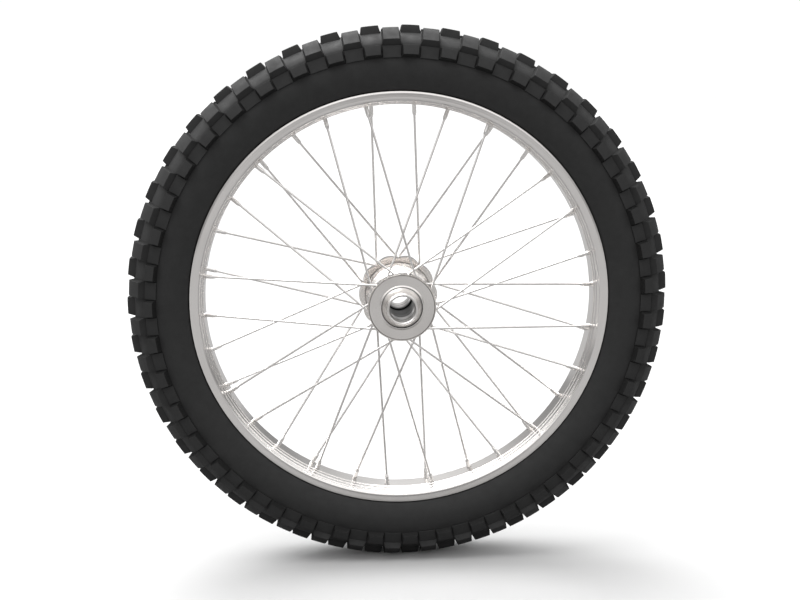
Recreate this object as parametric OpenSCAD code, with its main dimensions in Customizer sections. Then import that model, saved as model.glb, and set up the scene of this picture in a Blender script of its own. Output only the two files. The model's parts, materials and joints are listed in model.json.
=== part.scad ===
// Spoked motorcycle front wheel: 21 inch rim, straight-pull spokes, knobbly tyre on a foam insert.
// Origin at the wheel centre. The wheel spins about Y; the narrow hub disc (near side) faces -Y; Z is up.
// Every part is drawn lying flat, near side up (+z), then stood upright by stand().

/* [Tyre] */
// Radius over the crown knobs
tyre_r = 364.3; // [356:0.1:370]
// Number of tread pitches round the tyre
pitches = 43; // [20:1:60]
// Carcass radius at the crown, between the knobs
crown_r = 356.2; // [352:0.1:358]
// Half width of the carcass at its widest
side_w = 38; // [36:0.1:42]
// Half width over the side lugs
lug_w = 44.8; // [42:0.1:48]
// Crown knob width round the tyre
crown_knob = 21.5; // [14:0.1:24]
// Shoulder knob width round the tyre
shoulder_knob = 20; // [14:0.1:24]
// Extra width of each knob flank at its root
knob_flare = 2.4; // [0.5:0.1:3]

/* [Rim] */
// Radius over the rim flanges
rim_r = 281; // [280:0.1:282]
// Half width over the rim flanges
rim_w = 28.5; // [28:0.1:30]
// Radius of the inner face of the rim, where the nipples come out
well_r = 263.3; // [262:0.1:264]
// Radius of the bead seats
seat_r = 270.8; // [270:0.1:272]

/* [Spokes] */
// Spoke groups round the wheel, four spokes in each
groups = 10; // [5:1:10]
// Spoke diameter
spoke_d = 3; // [2.4:0.1:3.2]
// Spoke head diameter
head_d = 4.8; // [4:0.1:5]
// Nipple body diameter
nipple_d = 5.6; // [5:0.1:6]
// Nipple head diameter
nipple_head_d = 8; // [7:0.1:8.4]
// Nipple length showing inside the rim
nipple_out = 14; // [10:0.1:18]

/* [Hub] */
// Radius of the near disc flange
disc_r = 45.2; // [44.5:0.1:46]
// Outer face of the near disc flange, from the wheel centre
disc_z = 49.5; // [49:0.1:50]
// Radius over the ten lobes of the far flange
lobe_tip_r = 54.7; // [53:0.1:57]
// Radius at the cusps between the lobes
cusp_r = 50.5; // [50:0.1:52]
// Inner face of the far flange, from the wheel centre
lobe_z = 37.1; // [36.5:0.1:38]
// Outer face of the far brake-disc seat, from the wheel centre
far_face_z = 54; // [53:0.1:55]
// Waist radius of the hub barrel
waist_r = 29.8; // [28:0.1:32]
// Pitch circle diameter of the brake-disc screws
disc_pcd = 76; // [75:0.1:77]
// Tapped hole diameter for the brake-disc screws
disc_hole_d = 5; // [4.5:0.1:5.2]

/* [Axle and bearings] */
// Axle bore diameter
axle_d = 35; // [34:0.1:35.4]
// Near end of the axle collar, from the wheel centre
near_end_z = 61.5; // [58:0.1:64]
// Far end of the axle collar, from the wheel centre
far_end_z = 66; // [63:0.1:68]
// Bearing outside diameter
bearing_d = 55; // [54.8:0.1:55.2]
// Bearing width
bearing_w = 10; // [9.8:0.1:10.2]
// Inner face of the near bearing, from the wheel centre
near_bearing_z = 28; // [26:0.1:29]
// Inner face of the far bearing, from the wheel centre
far_bearing_z = 32; // [30:0.1:33]
// Balls in each bearing
balls = 14; // [8:1:15]
// Ball diameter
ball_d = 5.8; // [5.4:0.1:5.9]

/* [Hidden] */
$fn = 96;
tiny = 0.01;
pitch_a = 360 / pitches;
// the first crown knob sits half a knob past the first spoke group
tread_phase = 4.2;
group_a = 360 / groups;
axle_r = axle_d / 2;
bearing_r = bearing_d / 2;
ball_pitch_r = (axle_r + bearing_r) / 2;
ball_r = ball_d / 2;
groove_r = ball_r + 0.1;
inner_race_r = ball_pitch_r - 1.6;
outer_race_r = ball_pitch_r + 1.6;
core_r = 32.5;
steel = [0.62, 0.62, 0.64];
alloy = [0.72, 0.72, 0.73];
rubber = [0.12, 0.12, 0.12];

// Two spoke runs, each given as hub angle, hub height, rim angle and rim height,
// taken at the two radii below; "long" spokes lean further from the radial direction.
hub_pt_r = 50;
rim_pt_r = 258;
lean_a = [0.72, 40.4, -31.89, -4.9];
lean_b = [-0.55, 43.6, 27.69, 8.6];
// angle about which the near and far spoke patterns mirror each other
mirror_a = 9;

function spoke_hub(s) = [hub_pt_r * cos(s[0]), hub_pt_r * sin(s[0]), s[1]];
function spoke_rim(s) = [rim_pt_r * cos(s[2]), rim_pt_r * sin(s[2]), s[3]];
function spoke_vec(s) = spoke_rim(s) - spoke_hub(s);
function spoke_dir(s) = spoke_vec(s) / norm(spoke_vec(s));
// shortest distance from the wheel axis to the spoke line
function spoke_off(s) = let(h = spoke_hub(s), u = spoke_dir(s))
    abs(h[0] * u[1] - h[1] * u[0]) / norm([u[0], u[1]]);
// distance along the spoke from its hub point to radius r
function run_to(s, r) = let(d = spoke_off(s), u = spoke_dir(s))
    (sqrt(r * r - d * d) - sqrt(hub_pt_r * hub_pt_r - d * d)) / norm([u[0], u[1]]);

near_head_r = 40.4;
far_head_r = 42.6;
// where the barrel's flare meets the far flange
flare_r = 46;
// depth of the round seat behind each spoke head
head_room = 3;
nipple_seat_r = well_r + 1.5;
nipple_skirt = 1.9;
// length of the taper at the tip of each nipple
nipple_taper = 3.4;
strip_r = well_r + 4.4;
strip_half_w = 11.8;
// side lug width round the tyre
lug_knob = 19.6;
// where the lug flanks meet the sidewall
lug_root_w = 35.5;
// bore of the hub barrel between the bearings
barrel_bore_r = 23.4;
// head pockets behind the near disc: circle they lie on, radius, floor and the wall left in front
pocket_pitch_r = 35;
pocket_r = 6.5;
pocket_z = 34;
pocket_wall = 1.7;
disc_screws = 5;
disc_hole_depth = 12;
// bearing shields, cage and the grooves the shields sit in, from the middle of the bearing
shield_z = 4;
shield_t = 0.7;
shield_seat_z = 3.9;
cage_half_w = 3.6;
// seal and o-ring places, from the outer face of the bearing
seal_z = 2.4;
seal_h = 7;
o_ring_z = 6.5;
o_ring_r = 0.7;
o_ring_groove_w = 2.2;
circlip_t = 1.4;
collar_tube_r = 21;
collar_flange_r = bearing_r - 0.6;
// play between the distance tube and the axle, and where its bore is relieved
tube_play = 0.5;
relief_depth = 2;
relief_start_z = -8;

// ---------- placing ----------

module stand() {
    rotate([90, 0, 0])
        children();
}

// near side of a part drawn for the far side
module far_side() {
    rotate([0, 0, mirror_a])
        rotate([180, 0, 0])
            rotate([0, 0, -mirror_a])
                children();
}

module lathe(points) {
    rotate_extrude($fn = 360)
        polygon(points);
}

module ring(r_in, r_out, z0, z1) {
    translate([0, 0, z0])
        difference() {
            cylinder(r = r_out, h = z1 - z0, $fn = 180);
            translate([0, 0, -1])
                cylinder(r = r_in, h = z1 - z0 + 2, $fn = 180);
        }
}

// z runs along the spoke from its hub point towards the rim
module on_spoke(s) {
    u = spoke_dir(s);
    translate(spoke_hub(s))
        rotate([0, acos(u[2]), atan2(u[1], u[0])])
            children();
}

module each_group() {
    for (k = [0:groups - 1])
        rotate([0, 0, k * group_a])
            children();
}

// ---------- spokes and nipples ----------

module spoke_solid(s, head_r) {
    z0 = run_to(s, head_r);
    z1 = run_to(s, well_r + 0.6);
    on_spoke(s) {
        translate([0, 0, z0 - 1.9])
            cylinder(d1 = head_d - 1, d2 = head_d, h = 0.7, $fn = 32);
        translate([0, 0, z0 - 1.2])
            cylinder(d = head_d, h = 1.2, $fn = 32);
        translate([0, 0, z0 - 0.5])
            cylinder(d = spoke_d, h = z1 - z0 + 0.5, $fn = 32);
    }
}

module nipple_solid(s) {
    seat = run_to(s, nipple_seat_r);
    tip = run_to(s, well_r) - nipple_out;
    on_spoke(s)
        difference() {
            union() {
                translate([0, 0, seat])
                    cylinder(d = nipple_head_d, h = nipple_skirt, $fn = 32);
                translate([0, 0, tip + nipple_taper])
                    cylinder(d = nipple_d, h = seat - tip - nipple_taper + 0.4, $fn = 32);
                translate([0, 0, tip])
                    cylinder(d1 = nipple_d - 1.4, d2 = nipple_d, h = nipple_taper + tiny, $fn = 32);
            }
            translate([0, 0, tip - 1])
                cylinder(d = spoke_d + 0.1, h = seat - tip + 0.6, $fn = 32);
        }
}

module spoke_set(s, head_r) {
    each_group()
        spoke_solid(s, head_r);
}

module nipple_set(s) {
    each_group()
        nipple_solid(s);
}

module near_leading_spokes() {
    color(steel)
        stand()
            spoke_set(lean_b, near_head_r);
}

module near_trailing_spokes() {
    color(steel)
        stand()
            spoke_set(lean_a, near_head_r);
}

module far_leading_spokes() {
    color(steel)
        stand()
            far_side()
                spoke_set(lean_a, far_head_r);
}

module far_trailing_spokes() {
    color(steel)
        stand()
            far_side()
                spoke_set(lean_b, far_head_r);
}

module near_leading_nipples() {
    color(steel)
        stand()
            nipple_set(lean_b);
}

module near_trailing_nipples() {
    color(steel)
        stand()
            nipple_set(lean_a);
}

module far_leading_nipples() {
    color(steel)
        stand()
            far_side()
                nipple_set(lean_a);
}

module far_trailing_nipples() {
    color(steel)
        stand()
            far_side()
                nipple_set(lean_b);
}

// ---------- rim ----------

function mirrored(p) = concat(p, [for (i = [len(p) - 1:-1:0]) [p[i][0], -p[i][1]]]);

module nipple_drills(s) {
    seat = run_to(s, nipple_seat_r);
    on_spoke(s) {
        translate([0, 0, seat - 10])
            cylinder(d = nipple_d + 0.4, h = 14, $fn = 32);
        translate([0, 0, seat])
            cylinder(d = nipple_head_d + 0.8, h = 8, $fn = 32);
    }
}

module rim_section() {
    inside = [
        [well_r, 11.5],
        [well_r + 0.9, 15.5],
        [well_r + 2.6, 20],
        [well_r + 4.6, 24.2],
        [well_r + 6.1, 26.3],
        [well_r + 6.1, 27.1],
        [well_r + 7.3, rim_w - 0.5],
        [well_r + 9.5, rim_w],
        [rim_r - 3.2, rim_w],
        [rim_r - 1.0, rim_w - 0.6],
        [rim_r, rim_w - 1.7],
        [rim_r, rim_w - 2.6],
        [rim_r - 0.8, rim_w - 3.2],
        [seat_r + 0.6, rim_w - 3.2],
        [seat_r, rim_w - 3.8],
        [seat_r, 15.2],
        [well_r + 4, 12.3]
    ];
    polygon(mirrored(inside));
}

module rim() {
    color(alloy)
        stand()
            difference() {
                rotate_extrude($fn = 360)
                    rim_section();
                each_group() {
                    nipple_drills(lean_a);
                    nipple_drills(lean_b);
                    far_side()
                        nipple_drills(lean_a);
                    far_side()
                        nipple_drills(lean_b);
                }
            }
}

module rim_strip() {
    color(rubber)
        stand()
            ring(strip_r, strip_r + 0.9, -strip_half_w, strip_half_w);
}

// ---------- tyre ----------

carcass_out = [
    [crown_r, 0],
    [crown_r - 0.9, 9],
    [crown_r - 3.6, 17],
    [crown_r - 8.2, 25],
    [crown_r - 13.4, 31],
    [337.6, 34.3],
    [330, 35.4],
    [322.2, 36.2],
    [315, side_w - 0.4],
    [308, side_w],
    [300, side_w - 0.9],
    [292, side_w - 3.6],
    [286, side_w - 6.8],
    [rim_r + 1.6, rim_w + 0.2],
    [rim_r + 0.6, rim_w - 2],
    [rim_r + 0.4, rim_w - 3.2],
    [rim_r - 1.4, rim_w - 3.7],
    [seat_r + 1.2, rim_w - 3.7],
    [seat_r + 0.3, rim_w - 4.6],
    [seat_r + 0.3, 16.8],
    [seat_r + 1.4, 15.8]
];
carcass_in = [
    [276, 16.4],
    [281, 19.5],
    [286, 25],
    [293, 29.2],
    [301, 31.6],
    [310, 32.2],
    [320, 31.2],
    [331, 28.8],
    [338.5, 24.5],
    [343.5, 17.5],
    [346.4, 9],
    [347.2, 0]
];

// outline of a closed ring section from its outer and inner half outlines
function ring_section(o, i) = concat(
    o, i,
    [for (k = [len(i) - 2:-1:0]) [i[k][0], -i[k][1]]],
    [for (k = [len(o) - 1:-1:1]) [o[k][0], -o[k][1]]]
);

// wedge that limits one knob round the tyre, straight flanks flared to the root
module knob_wedge(w_top, r_top, r_root, half_w) {
    w_root = w_top + 2 * knob_flare;
    translate([0, 0, -half_w])
        linear_extrude(height = 2 * half_w)
            polygon([
                [r_root - 12, -w_root / 2],
                [r_root, -w_root / 2],
                [r_top + 4, -w_top / 2],
                [r_top + 4, w_top / 2],
                [r_root, w_root / 2],
                [r_root - 12, w_root / 2]
            ]);
}

// wedge for one side lug: its flanks flare towards the sidewall
module lug_wedge(side) {
    w_top = lug_knob;
    w_root = w_top + 2 * knob_flare + 1;
    translate([310, 0, 0])
        rotate([90, 0, 90])
            linear_extrude(height = 40)
                polygon([
                    [-w_root / 2, side * 28],
                    [-w_root / 2, side * lug_root_w],
                    [-w_top / 2, side * (lug_w + 0.4)],
                    [-w_top / 2, side * (lug_w + 3)],
                    [w_top / 2, side * (lug_w + 3)],
                    [w_top / 2, side * (lug_w + 0.4)],
                    [w_root / 2, side * lug_root_w],
                    [w_root / 2, side * 28]
                ]);
}

module crown_section() {
    polygon([
        [crown_r - 6, -15],
        [crown_r - 1, -14.6],
        [tyre_r - 0.6, -12.4],
        [tyre_r, 0],
        [tyre_r - 0.6, 12.4],
        [crown_r - 1, 14.6],
        [crown_r - 6, 15]
    ]);
}

module shoulder_section(side) {
    polygon([
        [crown_r - 10, side * 14],
        [360.6, side * 18.4],
        [354.6, side * 28],
        [345.3, side * 37.9],
        [337.6, side * 34.3],
        [334, side * 31]
    ]);
}

module lug_section(side) {
    polygon([
        [322.2, side * 34],
        [322.2, side * 36.2],
        [326.2, side * lug_w],
        [337.2, side * 41.4],
        [338.2, side * 39.8],
        [338.2, side * 30],
        [330, side * 30]
    ]);
}

module tyre() {
    color(rubber)
        stand()
            union() {
                rotate_extrude($fn = 360)
                    polygon(ring_section(carcass_out, carcass_in));
                intersection() {
                    rotate_extrude($fn = 360)
                        crown_section();
                    for (k = [0:pitches - 1])
                        rotate([0, 0, k * pitch_a + tread_phase])
                            knob_wedge(crown_knob, tyre_r, crown_r, 20);
                }
                for (side = [-1, 1]) {
                    intersection() {
                        rotate_extrude($fn = 360)
                            shoulder_section(side);
                        for (k = [0:pitches - 1])
                            rotate([0, 0, (k + 0.5) * pitch_a + tread_phase])
                                knob_wedge(shoulder_knob, 360, 340, 42);
                    }
                    intersection() {
                        rotate_extrude($fn = 360)
                            lug_section(side);
                        for (k = [0:pitches - 1])
                            rotate([0, 0, k * pitch_a + tread_phase])
                                lug_wedge(side);
                    }
                }
            }
}

module foam_insert() {
    gap = 0.4;
    half = [for (p = carcass_in) [p[0] - (p[0] > 320 ? gap : 0), max(0, p[1] - gap)]];
    section = concat(
        [[seat_r + 0.8, 0], [seat_r + 0.8, 15]],
        half,
        [for (k = [len(half) - 2:-1:0]) [half[k][0], -half[k][1]]],
        [[seat_r + 0.8, -15]]
    );
    color(rubber)
        stand()
            lathe(section);
}

// ---------- hub ----------

// round discs set in a circle: their outer arcs are the lobes, meeting in cusps
module lobes(h) {
    c = (cusp_r * cusp_r - lobe_tip_r * lobe_tip_r) / (2 * (cusp_r * cos(group_a / 2) - lobe_tip_r));
    linear_extrude(height = h)
        difference() {
            each_group()
                translate([c, 0])
                    circle(r = lobe_tip_r - c, $fn = 120);
            circle(r = flare_r - 1, $fn = 180);
        }
}

module hub_outline() {
    lathe([
        [bearing_r, disc_z + 0.6],
        [28.5, disc_z + 0.6],
        [30, disc_z - 0.6],
        [43, disc_z - 0.8],
        [43.6, disc_z - 0.2],
        [44, disc_z],
        [44.3, disc_z],
        [disc_r, disc_z - 1.2],
        [disc_r, 38.4],
        [disc_r - 0.8, 37.6],
        [34, 37.6],
        [core_r, 36],
        [core_r, 22],
        [waist_r + 0.6, 12],
        [waist_r, 6],
        [waist_r, -6],
        [waist_r + 0.8, -11],
        [waist_r + 2.4, -16],
        [waist_r + 5, -22],
        [waist_r + 8.4, -28],
        [waist_r + 11.8, -32.6],
        [flare_r - 0.8, -lobe_z + 0.7],
        [flare_r, -lobe_z + 1],
        [flare_r, -lobe_z - 1.3],
        [flare_r, -49.6],
        [45.4, -50.6],
        [45.4, 0.8 - far_face_z],
        [44.6, -far_face_z],
        [29, -far_face_z],
        [bearing_r, 0.8 - far_face_z],
        [bearing_r, -far_bearing_z],
        [barrel_bore_r + 1, -far_bearing_z],
        [barrel_bore_r, -far_bearing_z + 2],
        [barrel_bore_r, near_bearing_z - 2],
        [barrel_bore_r + 1, near_bearing_z],
        [bearing_r, near_bearing_z]
    ]);
}

module spoke_drill(s, head_r) {
    z0 = run_to(s, head_r);
    on_spoke(s) {
        translate([0, 0, z0 - 2])
            cylinder(d = spoke_d + 0.3, h = 24, $fn = 32);
        translate([0, 0, z0 - head_room])
            cylinder(d = head_d + 0.5, h = head_room, $fn = 32);
    }
}

// pockets behind each flange where the spoke heads sit
module near_pockets() {
    difference() {
        each_group()
            rotate([0, 0, group_a / 2])
                translate([pocket_pitch_r, 0, pocket_z])
                    cylinder(r = pocket_r, h = disc_z - pocket_z - pocket_wall, $fn = 64);
        cylinder(r = core_r + 0.4, h = 60, $fn = 180);
    }
}

module hub_shell() {
    color(alloy)
        stand()
            difference() {
                union() {
                    hub_outline();
                    translate([0, 0, -50])
                        lobes(50 - lobe_z - 0.3);
                }
                near_pockets();
                each_group() {
                    spoke_drill(lean_a, near_head_r);
                    spoke_drill(lean_b, near_head_r);
                    far_side()
                        spoke_drill(lean_a, far_head_r);
                    far_side()
                        spoke_drill(lean_b, far_head_r);
                }
                for (k = [0:disc_screws - 1])
                    rotate([0, 0, k * 360 / disc_screws + group_a / 2])
                        translate([disc_pcd / 2, 0, -far_face_z - 1])
                            cylinder(d = disc_hole_d, h = disc_hole_depth + 1, $fn = 48);
                translate([0, 0, near_bearing_z + bearing_w])
                    ring(bearing_r - 1, bearing_r + 1.4, 0.1, circlip_t + 0.3);
            }
}

// ---------- bearings ----------

module at_near_bearing() {
    translate([0, 0, near_bearing_z + bearing_w / 2])
        children();
}

module at_far_bearing() {
    translate([0, 0, -far_bearing_z - bearing_w / 2])
        children();
}

module race_groove() {
    rotate_extrude($fn = 180)
        translate([ball_pitch_r, 0])
            circle(r = groove_r, $fn = 64);
}

module inner_race() {
    difference() {
        ring(axle_r, inner_race_r, -bearing_w / 2, bearing_w / 2);
        race_groove();
    }
}

module outer_race() {
    difference() {
        ring(outer_race_r, bearing_r, -bearing_w / 2, bearing_w / 2);
        race_groove();
        ring(outer_race_r - 1, outer_race_r + 0.8, shield_seat_z, bearing_w);
        ring(outer_race_r - 1, outer_race_r + 0.8, -bearing_w, -shield_seat_z);
    }
}

module ball_ring() {
    for (k = [0:balls - 1])
        rotate([0, 0, k * 360 / balls])
            translate([ball_pitch_r, 0, 0])
                sphere(r = ball_r, $fn = 48);
}

module ball_cage() {
    difference() {
        ring(ball_pitch_r - 0.8, ball_pitch_r + 0.8, -cage_half_w, cage_half_w);
        for (k = [0:balls - 1])
            rotate([0, 0, k * 360 / balls])
                rotate([0, 90, 0])
                    cylinder(r = ball_r + 0.1, h = ball_pitch_r + 5, $fn = 48);
    }
}

module shield_pair() {
    ring(inner_race_r + 0.3, outer_race_r + 0.7, shield_z, shield_z + shield_t);
    ring(inner_race_r + 0.3, outer_race_r + 0.7, -shield_z - shield_t, -shield_z);
}

module near_bearing_inner_race() {
    color(steel)
        stand()
            at_near_bearing()
                inner_race();
}

module near_bearing_outer_race() {
    color(steel)
        stand()
            at_near_bearing()
                outer_race();
}

module near_bearing_balls() {
    color(steel)
        stand()
            at_near_bearing()
                ball_ring();
}

module near_bearing_cage() {
    color([0.7, 0.6, 0.35])
        stand()
            at_near_bearing()
                ball_cage();
}

module near_bearing_shields() {
    color(rubber)
        stand()
            at_near_bearing()
                shield_pair();
}

module far_bearing_inner_race() {
    color(steel)
        stand()
            at_far_bearing()
                inner_race();
}

module far_bearing_outer_race() {
    color(steel)
        stand()
            at_far_bearing()
                outer_race();
}

module far_bearing_balls() {
    color(steel)
        stand()
            at_far_bearing()
                ball_ring();
}

module far_bearing_cage() {
    color([0.7, 0.6, 0.35])
        stand()
            at_far_bearing()
                ball_cage();
}

module far_bearing_shields() {
    color(rubber)
        stand()
            at_far_bearing()
                shield_pair();
}

// ---------- collars, seals and small parts ----------

// collar drawn with its bearing end at z = 0 and its open end at z = h
module collar(h, flange_z) {
    lathe([
        [axle_r, 0],
        [collar_tube_r, 0],
        [collar_tube_r, flange_z],
        [collar_flange_r, flange_z],
        [collar_flange_r, flange_z + 1],
        [collar_flange_r - 0.7, flange_z + 1.8],
        [20.9, h - 1.1],
        [19.9, h],
        [axle_r + 0.8, h],
        [axle_r, h - 0.8],
        [axle_r, o_ring_z + o_ring_groove_w / 2],
        [axle_r + 1.5, o_ring_z + o_ring_groove_w / 2],
        [axle_r + 1.5, o_ring_z - o_ring_groove_w / 2],
        [axle_r, o_ring_z - o_ring_groove_w / 2]
    ]);
}

module near_axle_collar() {
    z0 = near_bearing_z + bearing_w;
    color(alloy)
        stand()
            translate([0, 0, z0])
                collar(near_end_z - z0, disc_z - z0 - 0.8);
}

module far_axle_collar() {
    z0 = far_bearing_z + bearing_w;
    color(alloy)
        stand()
            mirror([0, 0, 1])
                translate([0, 0, z0])
                    collar(far_end_z - z0, far_face_z - z0 - 1.2);
}

module collar_o_ring() {
    rotate_extrude($fn = 180)
        translate([axle_r + 0.8, o_ring_z])
            circle(r = o_ring_r, $fn = 32);
}

module near_collar_o_ring() {
    color(rubber)
        stand()
            translate([0, 0, near_bearing_z + bearing_w])
                collar_o_ring();
}

module far_collar_o_ring() {
    color(rubber)
        stand()
            mirror([0, 0, 1])
                translate([0, 0, far_bearing_z + bearing_w])
                    collar_o_ring();
}

module oil_seal() {
    lathe([
        [bearing_r - 0.05, 0],
        [bearing_r - 0.05, seal_h],
        [collar_tube_r + 1.4, seal_h],
        [collar_tube_r + 0.3, 6],
        [collar_tube_r + 0.3, 5],
        [collar_tube_r + 1.8, 4],
        [collar_tube_r + 1.8, 3.2],
        [bearing_r - 1.6, 3.2],
        [bearing_r - 1.6, 0]
    ]);
}

module near_oil_seal() {
    color(rubber)
        stand()
            translate([0, 0, near_bearing_z + bearing_w + seal_z])
                oil_seal();
}

module far_oil_seal() {
    color(rubber)
        stand()
            mirror([0, 0, 1])
                translate([0, 0, far_bearing_z + bearing_w + seal_z])
                    oil_seal();
}

module bearing_circlip() {
    z0 = near_bearing_z + bearing_w + 0.2;
    ear_a = 24;
    color(steel)
        stand()
            translate([0, 0, z0])
                difference() {
                    ring(bearing_r - 1.6, bearing_r + 1.3, 0, circlip_t);
                    translate([0, 0, -1])
                        linear_extrude(height = 4)
                            polygon([
                                [0, 0],
                                [40 * cos(ear_a / 2), -40 * sin(ear_a / 2)],
                                [40 * cos(ear_a / 2), 40 * sin(ear_a / 2)]
                            ]);
                }
}

// tube between the inner races, its bore relieved over its far half
module distance_tube() {
    color(alloy)
        stand()
            lathe([
                [axle_r + tube_play, near_bearing_z],
                [collar_tube_r, near_bearing_z],
                [collar_tube_r, -far_bearing_z],
                [axle_r + tube_play, -far_bearing_z],
                [axle_r + tube_play, 4 - far_bearing_z],
                [axle_r + relief_depth, 5.5 - far_bearing_z],
                [axle_r + relief_depth, relief_start_z - 1.5],
                [axle_r + tube_play, relief_start_z]
            ]);
}

tyre();
foam_insert();
rim_strip();
rim();
near_leading_spokes();
near_trailing_spokes();
far_leading_spokes();
far_trailing_spokes();
near_leading_nipples();
near_trailing_nipples();
far_leading_nipples();
far_trailing_nipples();
hub_shell();
near_bearing_outer_race();
near_bearing_inner_race();
near_bearing_balls();
near_bearing_cage();
near_bearing_shields();
far_bearing_outer_race();
far_bearing_inner_race();
far_bearing_balls();
far_bearing_cage();
far_bearing_shields();
near_oil_seal();
far_oil_seal();
bearing_circlip();
near_axle_collar();
far_axle_collar();
near_collar_o_ring();
far_collar_o_ring();
distance_tube();
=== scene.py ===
import json
import math

import bpy
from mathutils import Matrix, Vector


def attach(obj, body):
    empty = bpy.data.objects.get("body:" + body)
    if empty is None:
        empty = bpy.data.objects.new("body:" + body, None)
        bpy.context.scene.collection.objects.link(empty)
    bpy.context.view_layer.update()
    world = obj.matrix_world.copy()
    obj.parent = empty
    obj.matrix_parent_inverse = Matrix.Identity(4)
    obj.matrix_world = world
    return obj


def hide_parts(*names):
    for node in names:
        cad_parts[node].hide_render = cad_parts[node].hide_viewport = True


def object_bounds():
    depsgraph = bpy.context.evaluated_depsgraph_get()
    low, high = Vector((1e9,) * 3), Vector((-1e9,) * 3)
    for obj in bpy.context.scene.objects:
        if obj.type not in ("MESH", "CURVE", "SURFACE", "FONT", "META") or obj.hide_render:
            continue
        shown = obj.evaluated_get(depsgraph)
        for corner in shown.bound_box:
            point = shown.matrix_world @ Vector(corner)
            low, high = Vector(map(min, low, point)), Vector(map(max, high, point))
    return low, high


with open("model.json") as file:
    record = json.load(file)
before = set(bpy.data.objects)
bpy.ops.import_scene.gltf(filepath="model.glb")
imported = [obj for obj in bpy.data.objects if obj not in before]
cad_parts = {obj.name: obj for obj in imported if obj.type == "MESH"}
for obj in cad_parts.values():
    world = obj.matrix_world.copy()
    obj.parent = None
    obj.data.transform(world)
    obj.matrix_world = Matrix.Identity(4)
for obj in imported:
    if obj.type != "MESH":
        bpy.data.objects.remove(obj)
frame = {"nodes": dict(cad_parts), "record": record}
cad_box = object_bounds()
nodes = frame["nodes"]
scene = bpy.context.scene
MM = 0.001


# ---------- mesh helpers: radius r and place y along the axle in millimetres, angles in degrees ----------

def at(r, y, deg):
    a = math.radians(deg)
    return (r * math.cos(a) * MM, y * MM, r * math.sin(a) * MM)


def build(name, verts, faces, material, smooth=32):
    """A mesh object, shaded smooth where its faces meet at less than the smooth angle."""
    mesh = bpy.data.meshes.new(name)
    mesh.from_pydata(verts, [], faces)
    mesh.validate()
    mesh.update()
    obj = bpy.data.objects.new(name, mesh)
    scene.collection.objects.link(obj)
    mesh.materials.append(material)
    bpy.context.view_layer.objects.active = obj
    for o in bpy.context.selected_objects:
        o.select_set(False)
    obj.select_set(True)
    bpy.ops.object.shade_smooth_by_angle(angle=math.radians(smooth))
    return obj


def rounded(points, radius, steps=3):
    """The closed outline with each corner rounded to about this radius."""
    out = []
    n = len(points)
    for i, p in enumerate(points):
        p = Vector(p)
        a = Vector(points[i - 1]) - p
        b = Vector(points[(i + 1) % n]) - p
        cut = min(radius, 0.4 * a.length, 0.4 * b.length)
        a = p + a.normalized() * cut
        b = p + b.normalized() * cut
        for k in range(steps + 1):
            t = k / steps
            out.append(tuple((1 - t) ** 2 * a + 2 * t * (1 - t) * p + t * t * b))
    return out


def curve_through(points, steps):
    """A smooth open line through the points."""
    out = []
    for i in range(len(points) - 1):
        p0 = Vector(points[max(i - 1, 0)])
        p1, p2 = Vector(points[i]), Vector(points[i + 1])
        p3 = Vector(points[min(i + 2, len(points) - 1)])
        for k in range(steps):
            t = k / steps
            q = 0.5 * (2 * p1 + (p2 - p0) * t + (2 * p0 - 5 * p1 + 4 * p2 - p3) * t * t
                       + (3 * p1 - p0 - 3 * p2 + p3) * t ** 3)
            out.append(tuple(q))
    out.append(tuple(points[-1]))
    return out


def lathe(section, steps):
    """Vertices and faces of a closed section turned about the axle."""
    n = len(section)
    verts = [at(r, y, 360 * k / steps) for k in range(steps) for r, y in section]
    faces = [(k * n + i, k * n + (i + 1) % n, (k + 1) % steps * n + (i + 1) % n, (k + 1) % steps * n + i)
             for k in range(steps) for i in range(n)]
    return verts, faces


def block(section, half_width, centre, steps=4):
    """A moulded block: its section swept round the tyre, with flanks from half_width(r, y)."""
    n = len(section)
    verts, faces = [], []
    for s in range(steps + 1):
        t = 2 * s / steps - 1
        for r, y in section:
            w = half_width(r, y) * t
            verts.append(at(r, y, centre + math.degrees(math.asin(w / r))))
    for s in range(steps):
        for i in range(n):
            j = (i + 1) % n
            faces.append((s * n + i, s * n + j, (s + 1) * n + j, (s + 1) * n + i))
    faces.append(tuple(reversed(range(n))))
    faces.append(tuple(steps * n + i for i in range(n)))
    return verts, faces


def joined(parts):
    verts, faces = [], []
    for v, f in parts:
        base = len(verts)
        verts += v
        faces += [tuple(base + i for i in face) for face in f]
    return verts, faces


def apply_modifier(obj, kind, **settings):
    m = obj.modifiers.new(kind.lower(), kind)
    for key, value in settings.items():
        setattr(m, key, value)
    bpy.context.view_layer.objects.active = obj
    bpy.ops.object.modifier_apply(modifier=m.name)


# ---------- shader helpers ----------

def new_material(name, **sockets):
    mat = bpy.data.materials.new(name)
    mat.use_nodes = True
    tree = mat.node_tree
    shader = tree.nodes["Principled BSDF"]
    for key, value in sockets.items():
        shader.inputs[key.replace("_", " ")].default_value = value
    return mat, tree, shader


def rgba(value):
    """Three numbers, or one for a grey, as a colour."""
    return tuple(value) + (1,) if hasattr(value, "__len__") else (value, value, value, 1)


def node(tree, kind, **inputs):
    n = tree.nodes.new(kind)
    for key, value in inputs.items():
        n.inputs[key].default_value = value
    return n


def maths(tree, kind, *values):
    """One sum; each value is a socket or a number."""
    n = tree.nodes.new("ShaderNodeMath")
    n.operation = kind
    for slot, value in zip(n.inputs, values):
        if isinstance(value, (int, float)):
            slot.default_value = value
        else:
            tree.links.new(value, slot)
    return n.outputs[0]


def noise(tree, vector, scale, detail=3.0, roughness=0.5):
    n = node(tree, "ShaderNodeTexNoise", Scale=scale, Detail=detail, Roughness=roughness)
    tree.links.new(vector, n.inputs["Vector"])
    return n.outputs["Fac"]


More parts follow.
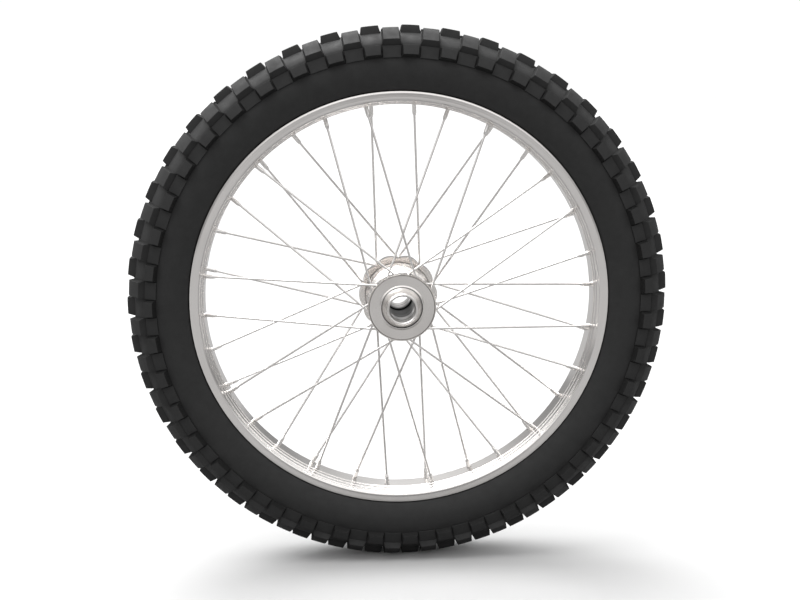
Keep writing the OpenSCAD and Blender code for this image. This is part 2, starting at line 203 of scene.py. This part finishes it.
def ramp(tree, value, low, high, start=0.3, end=0.7):
    n = tree.nodes.new("ShaderNodeValToRGB")
    for stop, place, colour in zip(n.color_ramp.elements, (start, end), (low, high)):
        stop.position = place
        stop.color = rgba(colour)
    tree.links.new(value, n.inputs["Fac"])
    return n.outputs["Color"]


def mixed(tree, factor, first, second, kind="MIX"):
    """One colour blended with another; each is a socket or three numbers."""
    n = tree.nodes.new("ShaderNodeMix")
    n.data_type = "RGBA"
    n.blend_type = kind
    for socket, value in (("Factor_Float", factor), ("A_Color", first), ("B_Color", second)):
        slot = next(i for i in n.inputs if i.identifier == socket)
        if hasattr(value, "is_linked"):
            tree.links.new(value, slot)
        else:
            slot.default_value = rgba(value) if hasattr(value, "__len__") else value
    return next(o for o in n.outputs if o.identifier == "Result_Color")


def bump(tree, shader, height, strength, depth):
    n = node(tree, "ShaderNodeBump", Strength=strength, Distance=depth)
    tree.links.new(height, n.inputs["Height"])
    tree.links.new(n.outputs["Normal"], shader.inputs["Normal"])


def painted_shade_in_corners(tree, reach, dark, start, end):
    """Painted shade: full brightness on open faces, base colour darkened in corners narrower than the reach
    in millimetres.
    """
    sky_share = node(tree, "ShaderNodeAmbientOcclusion", Distance=reach * MM).outputs["AO"]
    return ramp(tree, sky_share, dark, 1.0, start, end)


def own_place(tree):
    return tree.nodes.new("ShaderNodeTexCoord").outputs["Object"]


def own_xyz(tree):
    split = tree.nodes.new("ShaderNodeSeparateXYZ")
    tree.links.new(own_place(tree), split.inputs[0])
    return split.outputs


def from_axle(tree, x, z):
    """The distance from the axle's middle line."""
    squares = [maths(tree, "MULTIPLY", part, part) for part in (x, z)]
    return maths(tree, "SQRT", maths(tree, "ADD", *squares))


def turned_place(tree, along, across):
    """Coordinates whose grain runs round the axle: angle, radius and width, each with its own scale."""
    x, y, z = own_xyz(tree)
    join = tree.nodes.new("ShaderNodeCombineXYZ")
    tree.links.new(maths(tree, "MULTIPLY", maths(tree, "ARCTAN2", z, x), along), join.inputs[0])
    tree.links.new(maths(tree, "MULTIPLY", from_axle(tree, x, z), across), join.inputs[1])
    tree.links.new(maths(tree, "MULTIPLY", y, across), join.inputs[2])
    return join.outputs[0]


def along_axle(tree, start, end):
    """Nought at start and one at end, both in millimetres along the axle, and level outside them."""
    n = node(tree, "ShaderNodeMapRange", **{"From Min": start * MM, "From Max": end * MM})
    tree.links.new(own_xyz(tree)["Y"], n.inputs["Value"])
    return n.outputs["Result"]


def recolour(mat, factor, colour):
    tree = mat.node_tree
    base = tree.nodes["Principled BSDF"].inputs["Base Color"]
    tone = base.links[0].from_socket
    tree.links.new(mixed(tree, factor, tone, colour), base)


# ---------- materials ----------

def rubber(name, colour, light, rough=(0.6, 0.75), grain=2600):
    """Matt rubber between two tones, with painted shade where blocks meet."""
    mat, tree, shader = new_material(name, Specular_IOR_Level=0.35)
    place = own_place(tree)
    tone = ramp(tree, noise(tree, place, 38, 5), colour, light)
    # painted shade: the base colour is darkened in corners and between blocks
    shade = painted_shade_in_corners(tree, 9, dark=0.1, start=0.4, end=0.72)
    tree.links.new(mixed(tree, 1.0, tone, shade, "MULTIPLY"), shader.inputs["Base Color"])
    tree.links.new(ramp(tree, noise(tree, place, 90, 4), *rough), shader.inputs["Roughness"])
    bump(tree, shader, noise(tree, place, grain, 2), strength=0.25, depth=0.4 * MM)
    return mat


def turned_metal(name, colour, light, rough, along, across, strength, anisotropic=0.5):
    """Metal cut or drawn round the axle: fine grain, broader bands and painted shade in its inner corners."""
    mat, tree, shader = new_material(name, Metallic=1.0, Anisotropic=anisotropic)
    tone = ramp(tree, noise(tree, own_place(tree), 16, 3), colour, light)
    # painted shade: base colour darkened in inner corners, such as where the lip meets the disc face
    inner_corner_shade = painted_shade_in_corners(tree, 3, dark=0.4, start=0.5, end=0.85)
    tree.links.new(mixed(tree, 1.0, tone, inner_corner_shade, "MULTIPLY"), shader.inputs["Base Color"])
    grain = noise(tree, turned_place(tree, along, across), 1.0, 3, 0.6)
    tree.links.new(ramp(tree, grain, *rough), shader.inputs["Roughness"])
    bands = noise(tree, turned_place(tree, along * 0.5, across * 0.22), 1.0, 2, 0.5)
    bump(tree, shader, maths(tree, "MULTIPLY_ADD", bands, 2.5, grain), strength, depth=0.2 * MM)
    tangent = tree.nodes.new("ShaderNodeTangent")
    tangent.direction_type = "RADIAL"
    tangent.axis = "Y"
    tree.links.new(tangent.outputs[0], shader.inputs["Tangent"])
    return mat


def plain_metal(name, colour, light, rough, grain=500):
    mat, tree, shader = new_material(name, Metallic=1.0)
    place = own_place(tree)
    tree.links.new(ramp(tree, noise(tree, place, 60, 3), colour, light), shader.inputs["Base Color"])
    tree.links.new(ramp(tree, noise(tree, place, grain, 3), *rough), shader.inputs["Roughness"])
    bump(tree, shader, noise(tree, place, grain * 4, 2), strength=0.08, depth=0.2 * MM)
    return mat


def rolled_ridges(mat, inner, outer, count, height):
    """Low rolled ridges round the wheel, between two distances from its mid-plane; millimetres."""
    tree = mat.node_tree
    turn = node(tree, "ShaderNodeMapRange", **{"From Min": inner * MM, "From Max": outer * MM,
                                               "To Max": count * math.tau})
    tree.links.new(maths(tree, "ABSOLUTE", own_xyz(tree)["Y"]), turn.inputs["Value"])
    roll = node(tree, "ShaderNodeBump", Strength=1.0, Distance=height * MM)
    tree.links.new(maths(tree, "COSINE", turn.outputs["Result"]), roll.inputs["Height"])
    fine = tree.nodes["Principled BSDF"].inputs["Normal"].links[0].from_node
    tree.links.new(roll.outputs["Normal"], fine.inputs["Normal"])


def near_face_shade_ring(mat, radius, half_width, face, colour):
    """A painted dark ring on the near face at one radius, standing in for the shade on the sloped step there;
    millimetres.
    """
    tree = mat.node_tree
    x, _, z = own_xyz(tree)
    on_shade_ring = maths(tree, "COMPARE", from_axle(tree, x, z), radius * MM, half_width * MM)
    near = along_axle(tree, face + 4, face + 3)
    recolour(mat, maths(tree, "MULTIPLY", on_shade_ring, near), colour)


tyre_rubber = rubber("tyre_rubber", (0.0226, 0.0226, 0.0227), (0.0252, 0.0252, 0.0253))
tread_rubber = rubber("tread_rubber", (0.0235, 0.0235, 0.0236), (0.0265, 0.0265, 0.0266))
# painted shade: a darker copy of the tyre rubber for block flanks and undersides
flank_shade_rubber = rubber("flank_shade_rubber", (0.0055, 0.0055, 0.0055), (0.007, 0.007, 0.007), (0.75, 0.85))
seal_rubber = rubber("seal_rubber", (0.012, 0.012, 0.013), (0.02, 0.02, 0.02), (0.35, 0.5), grain=3200)
foam = rubber("foam", (0.05, 0.05, 0.05), (0.09, 0.09, 0.09), (0.8, 0.95), grain=700)

rim_metal = turned_metal("rim_metal", (0.84, 0.814, 0.794), (0.9, 0.874, 0.854), (0.12, 0.2),
                         along=3, across=2400, strength=0.06)
rolled_ridges(rim_metal, inner=12, outer=26.5, count=3, height=0.45)

HUB_DISC_FACE = -49.5
hub_metal = turned_metal("hub_metal", (0.78, 0.752, 0.728), (0.88, 0.85, 0.826), (0.16, 0.26),
                         along=5, across=2600, strength=0.08, anisotropic=0.7)
# painted shade: a dark ring at 43.3 mm on the hub's near face
near_face_shade_ring(hub_metal, radius=43.3, half_width=0.55, face=HUB_DISC_FACE, colour=(0.3, 0.285, 0.27))

collar_metal = turned_metal("collar_metal", (0.82, 0.795, 0.775), (0.9, 0.874, 0.854), (0.24, 0.36),
                            along=5, across=3600, strength=0.12)

# painted shadow: the tube is dark metal, and all but its near end is painted nearly black to stand in for the
# shadow deeper in the bore
tube_metal_painted_shadow = turned_metal("tube_metal_painted_shadow", (0.07, 0.068, 0.066), (0.1, 0.098, 0.096), (0.3, 0.45),
                          along=5, across=2600, strength=0.1)
recolour(tube_metal_painted_shadow, along_axle(tube_metal_painted_shadow.node_tree, -13, -11), (0.001, 0.001, 0.001))

bearing_metal = turned_metal("bearing_metal", (0.6, 0.585, 0.575), (0.68, 0.665, 0.655), (0.1, 0.2),
                             along=4, across=2600, strength=0.05)
spoke_metal = plain_metal("spoke_metal", (0.8, 0.78, 0.765), (0.88, 0.857, 0.84), (0.16, 0.26), grain=400)
nipple_metal = plain_metal("nipple_metal", (0.84, 0.82, 0.8), (0.9, 0.88, 0.862), (0.2, 0.3), grain=700)
cage_metal = plain_metal("cage_metal", (0.62, 0.44, 0.16), (0.7, 0.52, 0.22), (0.25, 0.38))

by_slot = {
    "tyre": tyre_rubber, "foam": foam, "strip": seal_rubber, "rim_alloy": rim_metal,
    "spoke_steel": spoke_metal, "nipple_steel": nipple_metal, "hub_alloy": hub_metal,
    "bearing_steel": bearing_metal, "cage_brass": cage_metal, "seal_rubber": seal_rubber,
    "collar_alloy": collar_metal,
}
for part in frame["record"]["subparts"]:
    mesh = nodes[part["node"]].data
    mesh.materials.clear()
    mesh.materials.append(tube_metal_painted_shadow if part["node"] == "distance_tube" else by_slot[part["material_slot"]])


# ---------- tyre: sections are points of radius and place along the axle, in millimetres ----------

PITCHES = 43
PITCH = 360 / PITCHES
PHASE = 4.2
TREAD_R = 364.2

outer = curve_through([
    (356.2, 0), (355.3, 9), (352.6, 17), (348, 25), (342.8, 31), (337.6, 34.3), (330, 35.4),
    (322.2, 36.2), (315, 37.6), (308, 38), (300, 37.1), (292, 34.4), (286.4, 31.4), (282.8, 28.9)], 5)
bead = rounded([
    (281.7, 27.4), (281.4, 25.4), (279.6, 24.8), (272, 24.8), (271.1, 23.9), (271.1, 16.8), (276, 16.4)], 0.5)
inner = curve_through([
    (281, 19.5), (293, 29.2), (301, 31.6), (310, 32.2), (320, 31.2), (331, 28.8), (338.5, 24.5),
    (343.5, 17.5), (346.4, 9), (347.2, 0)], 2)
half = outer + bead + inner
carcass = lathe(half + [(r, -y) for r, y in reversed(half[1:-1])], 6 * PITCHES)


def widening(top, root, start, end, along):
    """Half width of a block that goes from its top's width to its root's while along(r, y) falls."""
    return lambda r, y: (top + (root - top) * min(1, max(0, (start - along(r, y)) / (start - end)))) / 2


def up_shoulder(r, y):
    """Height square to the shoulder blocks' sloping top, which faces 38 degrees off the radius."""
    return 0.786 * r + 0.617 * abs(y)


crown_width = widening(21.5, 26.3, TREAD_R + 0.1, 356.2, lambda r, y: r)
shoulder_width = widening(20.6, 27.8, 294.8, 284, up_shoulder)
lug_width = widening(18.6, 23.8, 45.2, 35.5, lambda r, y: abs(y))
patch_half_width = 11.7

crown = [(350, -15), (355.2, -14.6), (363.6, -12.4), (363.95, -6.2), (TREAD_R, 0), (363.95, 6.2),
         (363.6, 12.4), (355.2, 14.6), (350, 15)]
shoulder = [(346, 14), (360.6, 18.4), (358, 23.2), (354.6, 28), (350.2, 33), (345.3, 37.9),
            (337.6, 34.3), (334, 31)]
lug = [(322.2, 34), (322.2, 36.2), (326.2, 44.8), (331.8, 43.2), (338, 40.9), (338.2, 30), (330, 30)]
patch = [(321.6, 33), (322.2, 38), (330, 36.7), (337.4, 34.9), (338.2, 33)]

crown_blocks, shoulder_blocks, lug_blocks, patches = [], [], [], []
for k in range(PITCHES):
    here = PHASE + k * PITCH
    between = PHASE + (k + 0.5) * PITCH
    crown_blocks.append(block(crown, crown_width, here))
    for side in (-1, 1):
        for section, width, centre, blocks in (
                (shoulder, shoulder_width, between, shoulder_blocks),
                (lug, lug_width, here, lug_blocks),
                (patch, lambda r, y: patch_half_width, between, patches)):
            blocks.append(block([(r, y * side) for r, y in section], width, centre))


def moulded(name, parts, edge, skin, under=()):
    """One kind of tread block all round the tyre; flanks and the sides named in under get painted shade, a
    darker copy of the rubber.
    """
    verts, faces = joined(parts)
    obj = build(name, verts, faces, skin)
    # painted shade on the flanks and on the sides named in under
    obj.data.materials.append(flank_shade_rubber)
    faces_each = len(faces) // len(parts)
    section_sides = len(parts[0][1][-1])
    for i, face in enumerate(obj.data.polygons):
        own = i % faces_each
        is_flank = own >= faces_each - 2
        face.material_index = 1 if is_flank or own % section_sides in under else 0
    apply_modifier(obj, "BEVEL", width=edge * MM, segments=2, limit_method="ANGLE",
                   angle_limit=math.radians(24), harden_normals=True)
    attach(obj, "wheel")


casing = build("tyre_casing", *carcass, tyre_rubber, smooth=40)
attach(casing, "wheel")
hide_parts("tyre")
moulded("tyre_crown_blocks", crown_blocks, 0.5, tread_rubber)
moulded("tyre_shoulder_blocks", shoulder_blocks, 0.5, tyre_rubber)
# the lugs' undersides get painted shade
moulded("tyre_side_lugs", lug_blocks, 0.22, tyre_rubber, under=(1,))
moulded("tyre_side_patches", patches, 0.3, tread_rubber)


# ---------- floor ----------

FLOOR_REACH = 30.0
floor_z = cad_box[0][2]
floor_mat, floor_tree, floor_shader = new_material("floor_white", Roughness=0.9, Specular_IOR_Level=0.1)
# the floor is white to the eye and under half as bright in the metal's reflections,
# as if the white ended out of view
floor_rays = floor_tree.nodes.new("ShaderNodeLightPath")
floor_tone = mixed(floor_tree, floor_rays.outputs["Is Camera Ray"], (0.23, 0.23, 0.23), (0.53, 0.53, 0.53))
floor_tree.links.new(floor_tone, floor_shader.inputs["Base Color"])
floor_corners = [(-FLOOR_REACH, -FLOOR_REACH, floor_z), (FLOOR_REACH, -FLOOR_REACH, floor_z),
                 (FLOOR_REACH, FLOOR_REACH, floor_z), (-FLOOR_REACH, FLOOR_REACH, floor_z)]
build("floor", floor_corners, [(0, 1, 2, 3)], floor_mat)


# ---------- light: a studio that brightens upwards, a white backdrop and two wide soft lights ----------

world = bpy.data.worlds.new("studio")
scene.world = world
world.use_nodes = True
sky = world.node_tree

sky_place = sky.nodes.new("ShaderNodeTexCoord")
sky_split = sky.nodes.new("ShaderNodeSeparateXYZ")
sky.links.new(sky_place.outputs["Generated"], sky_split.inputs[0])
brightness = node(sky, "ShaderNodeMapRange", **{"From Min": 0.08, "From Max": 0.6,
                                                "To Min": 0.28, "To Max": 1.16})
brightness.interpolation_type = "SMOOTHSTEP"
sky.links.new(sky_split.outputs["Z"], brightness.inputs["Value"])
fill = sky.nodes["Background"]
fill.inputs["Color"].default_value = rgba(1)
sky.links.new(brightness.outputs["Result"], fill.inputs["Strength"])

backdrop = node(sky, "ShaderNodeBackground", Color=rgba(1), Strength=1.02)
sky_rays = sky.nodes.new("ShaderNodeLightPath")
choose = sky.nodes.new("ShaderNodeMixShader")
sky.links.new(sky_rays.outputs["Is Camera Ray"], choose.inputs[0])
sky.links.new(fill.outputs[0], choose.inputs[1])
sky.links.new(backdrop.outputs[0], choose.inputs[2])
sky.links.new(choose.outputs[0], sky.nodes["World Output"].inputs["Surface"])


def soft_sun(name, toward, strength, spread):
    data = bpy.data.lights.new(name, "SUN")
    data.energy = strength
    data.angle = math.radians(spread)
    light = bpy.data.objects.new(name, data)
    scene.collection.objects.link(light)
    light.rotation_euler = Vector(toward).to_track_quat("-Z", "Y").to_euler()


soft_sun("overhead", (0.42, -0.18, -1), strength=3.0, spread=60)
soft_sun("behind", (0.08, -0.5, -0.87), strength=1.5, spread=40)


# ---------- camera: 3.5 degrees to the left and 11.9 degrees up, in metres from the wheel's middle ----------

CAMERA_PLACE = Vector((-0.0858, -1.4254, 0.3004))
CAMERA_AIM = Vector((-0.00153, -0.0285, 0.00634))
camera_data = bpy.data.cameras.new("camera")
camera_data.lens = 48.22
camera_data.sensor_width = 36
camera_data.clip_end = 100
camera = bpy.data.objects.new("camera", camera_data)
scene.collection.objects.link(camera)
camera.location = CAMERA_PLACE
camera.rotation_euler = (CAMERA_AIM - CAMERA_PLACE).to_track_quat("-Z", "Y").to_euler()
scene.camera = camera
scene.view_settings.view_transform = "Standard"
